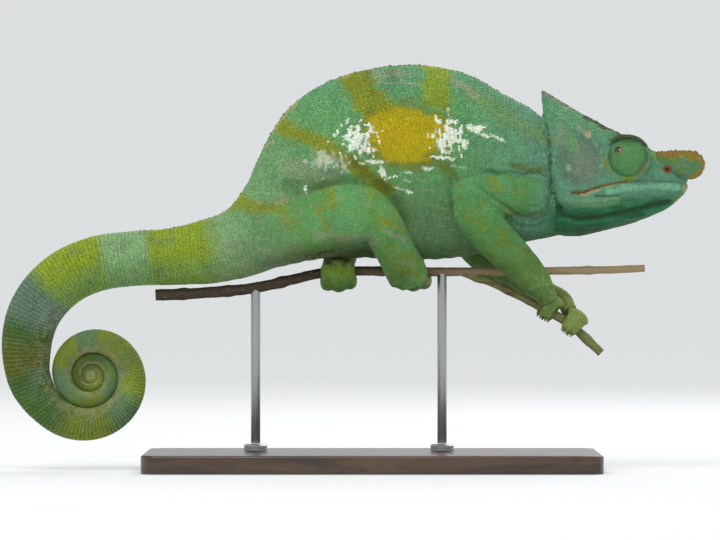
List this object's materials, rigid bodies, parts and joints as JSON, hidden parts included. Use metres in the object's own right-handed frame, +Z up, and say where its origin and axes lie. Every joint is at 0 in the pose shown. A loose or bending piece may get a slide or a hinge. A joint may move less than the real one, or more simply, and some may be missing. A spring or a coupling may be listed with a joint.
{
  "type": "chameleon model on a perch",
  "caption": "Still, life-size adult male Parson's chameleon with coiled tail and snout horns, gripping a cut forked twig held by two rods on a flat display base.",
  "frame": {"origin": "centre of the underside of the stand's base, on the floor", "axes": "+X from the tail to the snout, +Y to the animal's left, +Z up"},
  "size_m": [0.3862, 0.116, 0.223],
  "materials": {
    "skin": "matte, fine pebbled scales, teal green with olive bands and an ochre flank spot",
    "eye_skin": "satin, fine concentric scales, mid green round a dark pupil",
    "horn": "rough and warty, orange brown",
    "bark": "rough thin bark, reddish brown",
    "stand_wood": "satin varnished dark wood",
    "stand_metal": "brushed dark steel"
  },
  "bodies": {
    "root": {"abdomen": "skin", "chest": "skin", "eye_left": "eye_skin", "eye_right": "eye_skin", "fore_toes_left_inner": "skin", "fore_toes_left_outer": "skin", "fore_toes_right_inner": "skin", "fore_toes_right_outer": "skin", "forearm_left": "skin", "forearm_right": "skin", "head": "skin", "hind_toes_left_inner": "skin", "hind_toes_left_outer": "skin", "hind_toes_right_inner": "skin", "hind_toes_right_outer": "skin", "horn_left": "horn", "horn_right": "horn", "jaw": "skin", "neck": "skin", "pelvis": "skin", "perch_fork": "bark", "perch_main": "bark", "shin_left": "skin", "shin_right": "skin", "stand_base": "stand_wood", "stand_collar_front": "stand_metal", "stand_collar_rear": "stand_metal", "stand_rod_front": "stand_metal", "stand_rod_rear": "stand_metal", "tail_bend": "skin", "tail_coil_inner": "skin", "tail_coil_outer": "skin", "tail_coil_upper": "skin", "tail_drop": "skin", "tail_middle": "skin", "tail_root": "skin", "tail_tip": "skin", "thigh_left": "skin", "thigh_right": "skin", "upper_arm_left": "skin", "upper_arm_right": "skin"}
  },
  "joints": []
}
